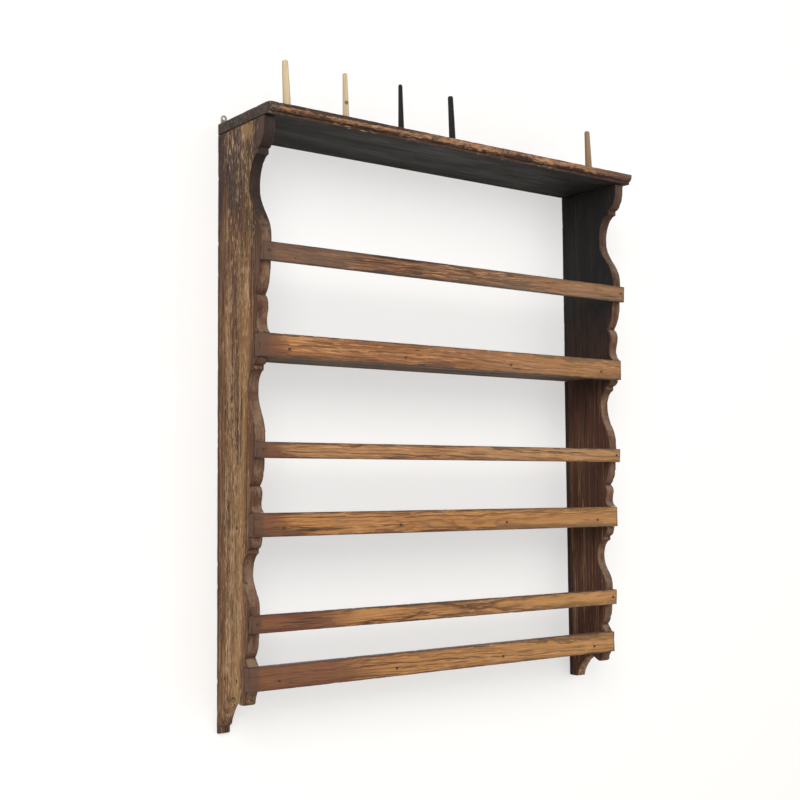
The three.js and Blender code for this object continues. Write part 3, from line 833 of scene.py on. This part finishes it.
@dataclass
class Carried(Identity):
    """A piece that is carried over from its CAD node, with its corners softened and its faces worn.

    Args:
        arris: The radius of a softened corner.
        wear: The deepest wear of a corner.
        wave: The depth of the waves that a hand plane leaves.
        cell: The size of the mesh's cells.
        crisp: The starts of the names of nodes that are let into this one. Its edges there stay sharp.
        eased: A corner of the plan that is worn round: its X, its Y and its radius.
    """

    arris: float = 1.2 * MM
    wear: float = 1.3 * MM
    wave: float = 0.35 * MM
    cell: float = 6.0 * MM
    crisp: tuple[str, ...] = ("nail_",)
    eased: Triple | None = None

    @property
    def seed(self) -> float:
        """Gives each piece its own part of the noise."""
        return float(sum(ord(c) * i for i, c in enumerate(self.node, 1)) % 97)

    def _zones(self, nodes: Nodes) -> list[tuple[Vector, Vector]]:
        """Lists the boxes, a little grown, of the pieces that are let into this one."""
        grow = Vector((MM, MM, MM))
        boxes = [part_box(n) for n in nodes if n.startswith(self.crisp)]
        low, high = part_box(self.node)
        near = [b for b in boxes if all(b[0][i] < high[i] + MM and b[1][i] > low[i] - MM for i in range(3))]
        return [(a - grow, b + grow) for a, b in near]

    @staticmethod
    def _inside(point: Vector, zones: list[tuple[Vector, Vector]]) -> bool:
        """Tells whether a point lies in one of the boxes."""
        return any(all(a[i] <= point[i] <= b[i] for i in range(3)) for a, b in zones)

    def _shape(self, nodes: Nodes, zones: list[tuple[Vector, Vector]]) -> tuple[bmesh.types.BMesh, np.ndarray]:
        """Copies the node, softens its corners and cuts it into cells.

        Args:
            nodes: The CAD nodes by name.
            zones: The boxes of what is let into it.

        Returns:
            The mesh, and the ends of its old corners.
        """
        bm = bmesh.new()
        bm.from_mesh(nodes[self.node].data)
        bmesh.ops.remove_doubles(bm, verts=bm.verts[:], dist=WELD)
        bmesh.ops.dissolve_limit(bm, angle_limit=FLAT, verts=bm.verts[:], edges=bm.edges[:])
        corners = [e for e in bm.edges if e.calc_face_angle(0.0) >= CORNER
                   and not all(self._inside(v.co, zones) for v in e.verts)]
        ends = np.array([[list(v.co) for v in edge.verts] for edge in corners])
        soften(bm, corners, self.arris, clamp=False)
        low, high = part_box(self.node)
        for axis in range(3):
            count = max(1, round((high[axis] - low[axis]) / self.cell))
            normal = Vector((0, 0, 0))
            normal[axis] = 1
            for i in range(1, count):
                cut(bm, low.lerp(high, i / count), normal)
        return bm, ends

    def _ease(self, bm: bmesh.types.BMesh) -> None:
        """Rounds the worn corner of the plan off, if there is one."""
        if self.eased is None:
            return
        x, y, radius = self.eased
        for step in range(1, STRIPS):
            cut(bm, (x + radius * step / STRIPS, 0, 0), (1, 0, 0))
            cut(bm, (0, y + radius * step / STRIPS, 0), (0, 1, 0))
        for vert in bm.verts:
            u, v = 1 - (vert.co.x - x) / radius, 1 - (vert.co.y - y) / radius
            reach = math.hypot(u, v)
            if u > 0 and v > 0 and reach > 1:
                vert.co.x = x + radius * (1 - u / reach)
                vert.co.y = y + radius * (1 - v / reach)

    @staticmethod
    def _gaps(points: np.ndarray, ends: np.ndarray) -> np.ndarray:
        """Measures how far each point lies from the nearest corner."""
        best = np.full(len(points), 1.0)
        for a, b in ends:
            along = b - a
            share = np.clip((points - a) @ along / max(along @ along, 1e-12), 0, 1)
            best = np.minimum(best, np.linalg.norm(points - a - share[:, None] * along, axis=1))
        return best

    def _wear(self, bm: bmesh.types.BMesh, gaps: np.ndarray, zones: list[tuple[Vector, Vector]]) -> None:
        """Moves the faces in by hand-plane waves and the corners by wear, always inwards.

        Args:
            bm: The mesh, moved in place.
            gaps: Each vertex's distance to the nearest corner.
            zones: The boxes in which nothing moves.
        """
        reach = 5 * self.arris
        seed = self.seed
        shift = Vector((seed, seed * 0.7, -seed))
        moves = []
        for vert, gap in zip(bm.verts, gaps):
            co = vert.co
            depth = self.wave * (0.5 + 0.5 * noise.noise(Vector([c * n for c, n in zip(co, WAVES)]) + shift))
            if gap < reach:
                rub = 0.5 + 0.5 * noise.noise(co * RUBS + shift)
                chip = max(0.0, noise.noise(co * CHIPS - shift) - 0.25) * 2.0
                depth += self.wear * (0.45 * rub + chip) * (1 - gap / reach) ** 2
            for a, b in zones:
                off = Vector([max(a[i] - co[i], 0.0, co[i] - b[i]) for i in range(3)]).length
                depth *= min(1.0, off / FADE)
            moves.append(-vert.normal * depth)
        for vert, move in zip(bm.verts, moves):
            vert.co += move

    def build(self, nodes: Nodes, material: bpy.types.Material) -> None:
        """Makes the piece and gives it its finish."""
        zones = self._zones(nodes)
        bm, ends = self._shape(nodes, zones)
        self._ease(bm)
        bm.normal_update()
        gaps = self._gaps(np.array([list(v.co) for v in bm.verts]), ends)
        self._wear(bm, gaps, zones)
        self.give(bm, material, SHARP, gaps)


@dataclass
class Peg:
    """A peg whittled with a knife, standing in its hole in the top board.

    Args:
        number: Its number from the left.
        x, depth: Its place along the wall and in front of it.
        height: Its height over the board.
        base, tip: Its diameters at the board and at the tip.
        lean: Its lean along the wall, in degrees.
        finish, slot: Its finish and the record's material slot.
        board: The board's upper face.
        tenon, tenon_length: The diameter and the length of its tenon.
        seat: How high it stands off the board.
        point: The length of its rounded tip.
        facets, cuts, uneven: The knife cuts round it and along it, and how uneven they leave it.
        arris: The radius of a softened edge.
        crease, sharp: The angles over which edges are softened and stay sharp, in degrees.
    """

    number: int
    x: float
    height: float
    base: float
    tip: float
    lean: float
    finish: PegFinish
    slot: str
    depth: float = -0.145
    board: float = 11.0 * MM
    tenon: float = 11.8 * MM
    tenon_length: float = 13.7 * MM
    seat: float = 0.7 * MM
    point: float = 2.2 * MM
    facets: int = 9
    cuts: int = 10
    uneven: float = 0.13
    arris: float = 0.5 * MM
    crease: float = 22.0
    sharp: float = 40.0

    def _stations(self) -> list[Triple]:
        """Lists the height, diameter and unevenness of each ring of the peg, from the tenon up."""
        length, taper = self.height - self.point - self.seat, self.tip - self.base
        rings = [(-self.tenon_length, self.tenon, 0.0), (self.seat, self.tenon, 0.0)]
        for i in range(self.cuts + 1):
            share = i / self.cuts
            rings.append((self.seat + length * share, self.base + taper * share, self.uneven))
        rings.append((self.height, self.tip - 1.6 * self.point, 0.1))
        return rings

    def _carve(self, vert: bmesh.types.BMVert, rings: list[Triple]) -> None:
        """Moves a vertex of the blank to its place on the whittled peg."""
        side = round(math.atan2(vert.co.y, vert.co.x) / math.tau * self.facets) % self.facets
        height, diameter, uneven = rings[round(vert.co.z)]
        stroke = noise.noise(Vector((side * 2.3, self.number * 3.1, height * 9)))
        turn = 0.25 * noise.noise(Vector((side * 5.1, self.number * 1.9, 0.5))) if uneven else 0.0
        angle = math.tau * (side + turn) / self.facets
        radius = diameter / 2 * (1 - uneven * (0.5 + 0.7 * stroke))
        vert.co = Vector((math.cos(angle) * radius, math.sin(angle) * radius, height))

    def build(self, groups: SharedGroups) -> None:
        """Makes the peg from a blank with one ring to a unit of height."""
        rings = self._stations()
        bm = bmesh.new()
        top = len(rings) - 1
        lift = Matrix.Translation((0, 0, top / 2))
        bmesh.ops.create_cone(bm, cap_ends=True, segments=self.facets, radius1=1, radius2=1, depth=top,
                              matrix=lift)
        for level in range(1, top):
            cut(bm, (0, 0, level), (0, 0, 1), near=WELD)
        for vert in bm.verts:
            self._carve(vert, rings)
        bmesh.ops.recalc_face_normals(bm, faces=bm.faces[:])
        crease = math.radians(self.crease)
        corners = [e for e in bm.edges if e.calc_face_angle(0.0) > crease and e.verts[0].co.z > 0]
        soften(bm, corners, self.arris, clamp=True)
        turn = Matrix.Rotation(math.radians(self.lean), 4, "Y")
        stand = Matrix.Translation((self.x, self.depth, self.board)) @ turn
        bmesh.ops.transform(bm, verts=bm.verts[:], matrix=stand)
        wood = self.finish.material(f"peg_{self.number}_wood", groups)
        piece = Identity(f"peg_{self.number}", f"whittled_peg_{self.number}", self.slot)
        piece.give(bm, wood, math.radians(self.sharp))


@dataclass
class SideBoards:
    """The two shaped side boards."""

    finish: SideFinish

    def build(self, nodes: Nodes, groups: SharedGroups) -> None:
        """Makes both boards from their nodes."""
        for end in End:
            word = end.name.lower()
            pith = (0.0, end.value * 0.43, -0.05 - 0.02 * end.value)
            board = Carried(f"side_{word}", f"side_board_{word}", "side_board", arris=1.4 * MM, wear=2.0 * MM,
                            wave=0.45 * MM, crisp=("nail_", "shelf_", "lip_", "hanger_"))
            board.build(nodes, replace(self.finish, end=end, pith=pith).material(f"side_{word}_pine", groups))


@dataclass
class Fronts:
    """The lips and the guard rails, one of each to a shelf.

    Args:
        plain: The finish that they share.
        changes: What is changed of it, by the word lip or rail and by the bay.
    """

    plain: FrontFinish
    changes: dict[str, dict[str, dict[str, object]]]

    def build(self, nodes: Nodes, groups: SharedGroups) -> None:
        """Makes every lip and rail from its node, each with a pith of its own."""
        for kind, bays in self.changes.items():
            for bay, changes in bays.items():
                low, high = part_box(f"{kind}_{bay}")
                middle = (low + high) / 2
                turn = (len(bay) * 7 + len(kind) * 3) % 5
                pith = (0.0, middle.y + (0.026 + 0.006 * turn), middle.z + (0.012 * turn - 0.02))
                finish = replace(self.plain, pith=pith, foot=low.z, **changes)
                board = Carried(f"{kind}_{bay}", f"{kind}_board_{bay}", f"{kind}_board", arris=1.3 * MM,
                                wear=1.2 * MM, wave=0.3 * MM)
                board.build(nodes, finish.material(f"{kind}_{bay}_pine", groups))


@dataclass
class Shelves:
    """The three shelves behind the lips."""

    finish: PineFinish

    def build(self, nodes: Nodes, groups: SharedGroups) -> None:
        """Makes every shelf from its node."""
        for bay in BAYS:
            low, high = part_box(f"shelf_{bay}")
            finish = replace(self.finish, pith=(0.0, (low.y + high.y) / 2, low.z - 0.05))
            board = Carried(f"shelf_{bay}", f"shelf_board_{bay}", "shelf_board", arris=1.0 * MM, wear=0.8 * MM,
                            wave=0.3 * MM, cell=8 * MM)
            board.build(nodes, finish.material(f"shelf_{bay}_pine", groups))


@dataclass
class Top:
    """The top board with its moulded edge, and the pegs in it."""

    finish: TopFinish
    pegs: tuple[Peg, ...]

    def build(self, nodes: Nodes, groups: SharedGroups) -> None:
        """Makes the board from its node, and whittles the pegs."""
        board = Carried("top_board", "moulded_top_board", "top_board", arris=1.4 * MM, wear=1.8 * MM,
                        wave=0.4 * MM, crisp=("nail_", "peg_", "hanger_"), eased=(-SIDE_FACE, -0.19, 17 * MM))
        board.build(nodes, self.finish.material("top_board_pine", groups))
        for peg in self.pegs:
            peg.build(groups)


@dataclass
class Ironwork:
    """The two hangers in the back, and the nails, which keep their CAD shapes."""

    strap: IronFinish
    nail: IronFinish

    def build(self, nodes: Nodes, groups: SharedGroups) -> None:
        """Makes the hangers from their nodes and gives the nails their finish."""
        forged = self.strap.material("forged_iron", groups)
        for end in End:
            word = end.name.lower()
            strap = Carried(f"hanger_{word}", f"iron_hanger_{word}", "old_iron", arris=0.4 * MM, wear=0.3 * MM,
                            wave=0.12 * MM, cell=2.0 * MM)
            strap.build(nodes, forged)
        heads = self.nail.material("nail_iron", groups)
        nails = [node for name, node in nodes.items() if name.startswith("nail_")]
        for node in nails:
            node.data.materials.clear()
            node.data.materials.append(heads)
        LOG.info("nails: %d", len(nails))


@dataclass
class Studio:
    """The pale wall and floor, the soft lamps and the camera.

    Args:
        wall: How far the wall stands off the rack's back.
        floor: The floor's height.
        reach: Half the width of the wall and of the floor.
        wall_paint, floor_paint: Their colours.
        wall_glow, floor_glow: How much of the colours is their own white, so that they show pale.
        lamps: Each lamp's name, place, width and power.
        middle: The height that the lamps face.
        world: The strength of the light from all round.
        focal, sensor: The camera's focal length and the width of its sensor, in millimetres.
        eye: Its place.
        yaw, pitch, roll: How far it is turned right, turned up and tilted, in degrees.
    """

    wall: float = 1.5 * MM
    floor: float = -2.1
    reach: float = 7.0
    wall_paint: str = "#fcf9f5"
    wall_glow: float = 0.5
    floor_paint: str = "#f4f1ec"
    floor_glow: float = 0.7
    lamps: tuple[tuple[str, Triple, float, float], ...] = (
        ("key", (-2.4, -3.2, 1.4), 2.6, 130.0),
        ("fill", (2.6, -3.0, 0.2), 2.6, 35.0),
        ("rear", (0.6, 3.6, 0.6), 2.4, 40.0),
    )
    middle: float = -0.55
    world: float = 0.5
    focal: float = 57.66
    sensor: float = 36.0
    eye: Triple = (-1.6468, -2.1377, -0.6988)
    yaw: float = 37.009
    pitch: float = 4.162
    roll: float = -0.453

    @staticmethod
    def _pale(name: str, colour: str, glow: float) -> bpy.types.Material:
        """Makes a pale, dull finish with some white of its own, seen through from behind."""
        g = Paint(name)
        seen = g.times(g.node("LightPath").outputs["Is Camera Ray"], glow)
        behind = g.node("NewGeometry").outputs["Backfacing"]
        shown = g.node("BsdfDiffuse", colour)
        for share, other in ((seen, g.node("Emission", WHITE)), (behind, g.node("BsdfTransparent"))):
            shown = g.node("MixShader", share, shown.outputs[0], other.outputs[0])
        g.end(shown)
        return g.made

    def _plane(self, name: str, matrix: Matrix, colour: str, glow: float) -> bpy.types.Object:
        """Makes a large flat sheet for the stage."""
        bm = bmesh.new()
        bmesh.ops.create_grid(bm, x_segments=1, y_segments=1, size=self.reach, matrix=matrix)
        sheet = finished(bm, name, self._pale(name + "_paint", colour, glow))
        return sheet

    def _stage(self) -> None:
        """Sets up the wall and the floor."""
        upright = Matrix.Rotation(math.radians(90), 4, "X")
        facing = Matrix.Translation((0, self.wall, self.floor + self.reach)) @ upright
        wall = self._plane("pale_wall", facing, self.wall_paint, self.wall_glow)
        wall.visible_diffuse = False
        wall.visible_shadow = False
        flat = Matrix.Translation((0, self.wall - self.reach, self.floor))
        self._plane("pale_floor", flat, self.floor_paint, self.floor_glow)

    def _lamp(self, name: str, place: Triple, size: float, power: float) -> None:
        """Hangs a square lamp that faces the middle of the rack."""
        data = bpy.data.lights.new(name, "AREA")
        data.shape = "SQUARE"
        data.size = size
        data.energy = power
        lamp = bpy.data.objects.new(name, data)
        bpy.context.scene.collection.objects.link(lamp)
        aim = Vector((0, 0, self.middle)) - Vector(place)
        lamp.matrix_world = Matrix.Translation(place) @ aim.to_track_quat("-Z", "Y").to_matrix().to_4x4()

    def _room(self) -> None:
        """Lights the room from all round, and shows it white."""
        world = bpy.data.worlds.new("soft_room")
        bpy.context.scene.world = world
        world.use_nodes = True
        world.node_tree.nodes.clear()
        g = Graph(world.node_tree)
        path = g.node("LightPath")
        seen = g.math("MAXIMUM", path.outputs["Is Camera Ray"], path.outputs["Is Glossy Ray"])
        seen = g.math("MAXIMUM", seen, path.outputs["Is Transmission Ray"])
        room = g.node("Background", WHITE, g.blend(seen, self.world, 1.0))
        g.node("OutputWorld", room.outputs[0])

    def _camera(self) -> None:
        """Stands the camera where the photograph was taken from."""
        yaw, pitch, roll = (math.radians(v) for v in (self.yaw, self.pitch, self.roll))
        ahead = Vector((math.sin(yaw) * math.cos(pitch), math.cos(yaw) * math.cos(pitch), math.sin(pitch)))
        right = Vector((math.cos(yaw), -math.sin(yaw), 0))
        up = right.cross(ahead)
        right, up = (math.cos(roll) * right + math.sin(roll) * up, math.cos(roll) * up - math.sin(roll) * right)
        data = bpy.data.cameras.new("camera")
        data.sensor_width = self.sensor
        data.lens = self.focal
        camera = bpy.data.objects.new("camera", data)
        bpy.context.scene.collection.objects.link(camera)
        turn = Matrix((right, up, -ahead)).transposed().to_4x4()
        camera.matrix_world = Matrix.Translation(self.eye) @ turn
        bpy.context.scene.camera = camera

    def build(self) -> None:
        """Sets up the stage, the lamps and the camera."""
        self._stage()
        for lamp in self.lamps:
            self._lamp(*lamp)
        self._room()
        self._camera()
        bpy.context.scene.view_settings.view_transform = "Standard"


def front_boards() -> Fronts:
    """Sets out the lips and rails: what they share, and each board's own colours, grain and red end."""
    plain = FrontFinish(early="#a36d3b", late="#5e381e", stain="#56331f", light="#bf8a55", shade="#553319",
                        corner="#3c2519", dirt="#24160f", pale=0.5, figure=1.0, waver=6.0 * MM, streaks=0.3,
                        shade_level=0.61, stained=0.12, rough=0.5, relief=0.55)
    lips = {
        "upper": dict(early="#8d5b31", late="#50301b", red_reach=0.05, slope=0.012),
        "middle": dict(early="#a5713c", late="#4f2f19", red_reach=0.07, slope=-0.016),
        "lower": dict(early="#a47240", late="#492b18", red_reach=0.25, slope=0.02),
    }
    rails = {
        "upper": dict(early="#825838", late="#33211a", red_reach=0.2, slope=-0.02, stained=0.35,
                      red="#5c4334", shade="#3b281f", shade_level=0.595, figure=0.8, gold="#a37c50",
                      band="#3b2a20"),
        "middle": dict(early="#a1744a", late="#4f311e", red_reach=0.06, slope=0.015),
        "lower": dict(early="#ab7845", late="#50301a", red_reach=0.2, slope=-0.01),
    }
    return Fronts(plain, {"lip": lips, "rail": rails})


def top_with_pegs() -> Top:
    """Sets out the top board and its five pegs."""
    board = TopFinish(early="#56382a", late="#38231b", stain="#2f1e18", light="#7d5a3e", shade="#221613",
                      corner="#38241b", dirt="#1a1311", stained=0.35, crack=0.7, rough=0.65, relief=0.8,
                      pith=(0.0, -0.1, -0.07))
    knot = Knot((-0.2723, -0.1507, 0.051), 3.0 * MM)
    pale = PegFinish("#cdb998", "#ac8f68", "#8d7453")
    warm = PegFinish("#cab797", "#a2875c", "#6b5131", stained=0.2, knot=knot)
    dark = PegFinish("#120e0d", "#0b0908", "#080707", stained=0.5, rough=0.65)
    grey = PegFinish("#937a5c", "#6c563c", "#51412f", stained=0.35)
    pegs = (
        Peg(1, -0.4025, 97.5 * MM, 16.5 * MM, 12.3 * MM, -2.6, pale, "pale_peg"),
        Peg(2, -0.2695, 98.5 * MM, 14.7 * MM, 10.0 * MM, -1.5, warm, "pale_peg"),
        Peg(3, -0.1365, 101.5 * MM, 13.3 * MM, 9.0 * MM, -0.7, dark, "dark_peg"),
        Peg(4, -0.0045, 101.5 * MM, 15.6 * MM, 11.8 * MM, -2.6, dark, "dark_peg"),
        Peg(7, 0.388, 93.5 * MM, 16.8 * MM, 12.7 * MM, -2.2, grey, "weathered_peg"),
    )
    return Top(board, pegs)


def main() -> None:
    """Loads the frame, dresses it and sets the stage."""
    logging.basicConfig(level=logging.INFO, format="%(message)s")
    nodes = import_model()["nodes"]
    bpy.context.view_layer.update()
    groups = SharedGroups()
    side = SideFinish(early="#80583a", late="#4b2f1e", stain="#4f3223", light="#a9835a", shade="#38251b",
                      corner="#563a28", dirt="#1c1411", ring=3.6 * MM, figure=0.6, flecked=0.9,
                      light_level=0.565, shade_level=0.55, along=9.0, across=400.0, shortness=3.0,
                      corner_share=0.45, crack=0.8, rough=0.72, relief=0.9, grain=Grain.UPRIGHT)
    shelf = PineFinish(early="#6f5a46", late="#4c3b2e", stain="#41342a", light="#836d56", shade="#30251d",
                       corner="#4a3a2f", dirt="#1d1613", stained=0.4, rough=0.7)
    SideBoards(side).build(nodes, groups)
    top_with_pegs().build(nodes, groups)
    Shelves(shelf).build(nodes, groups)
    front_boards().build(nodes, groups)
    Ironwork(IronFinish(), IronFinish("#4c382a", "#402c20", rubbed=False)).build(nodes, groups)
    Studio().build()


if __name__ == "__main__":
    main()
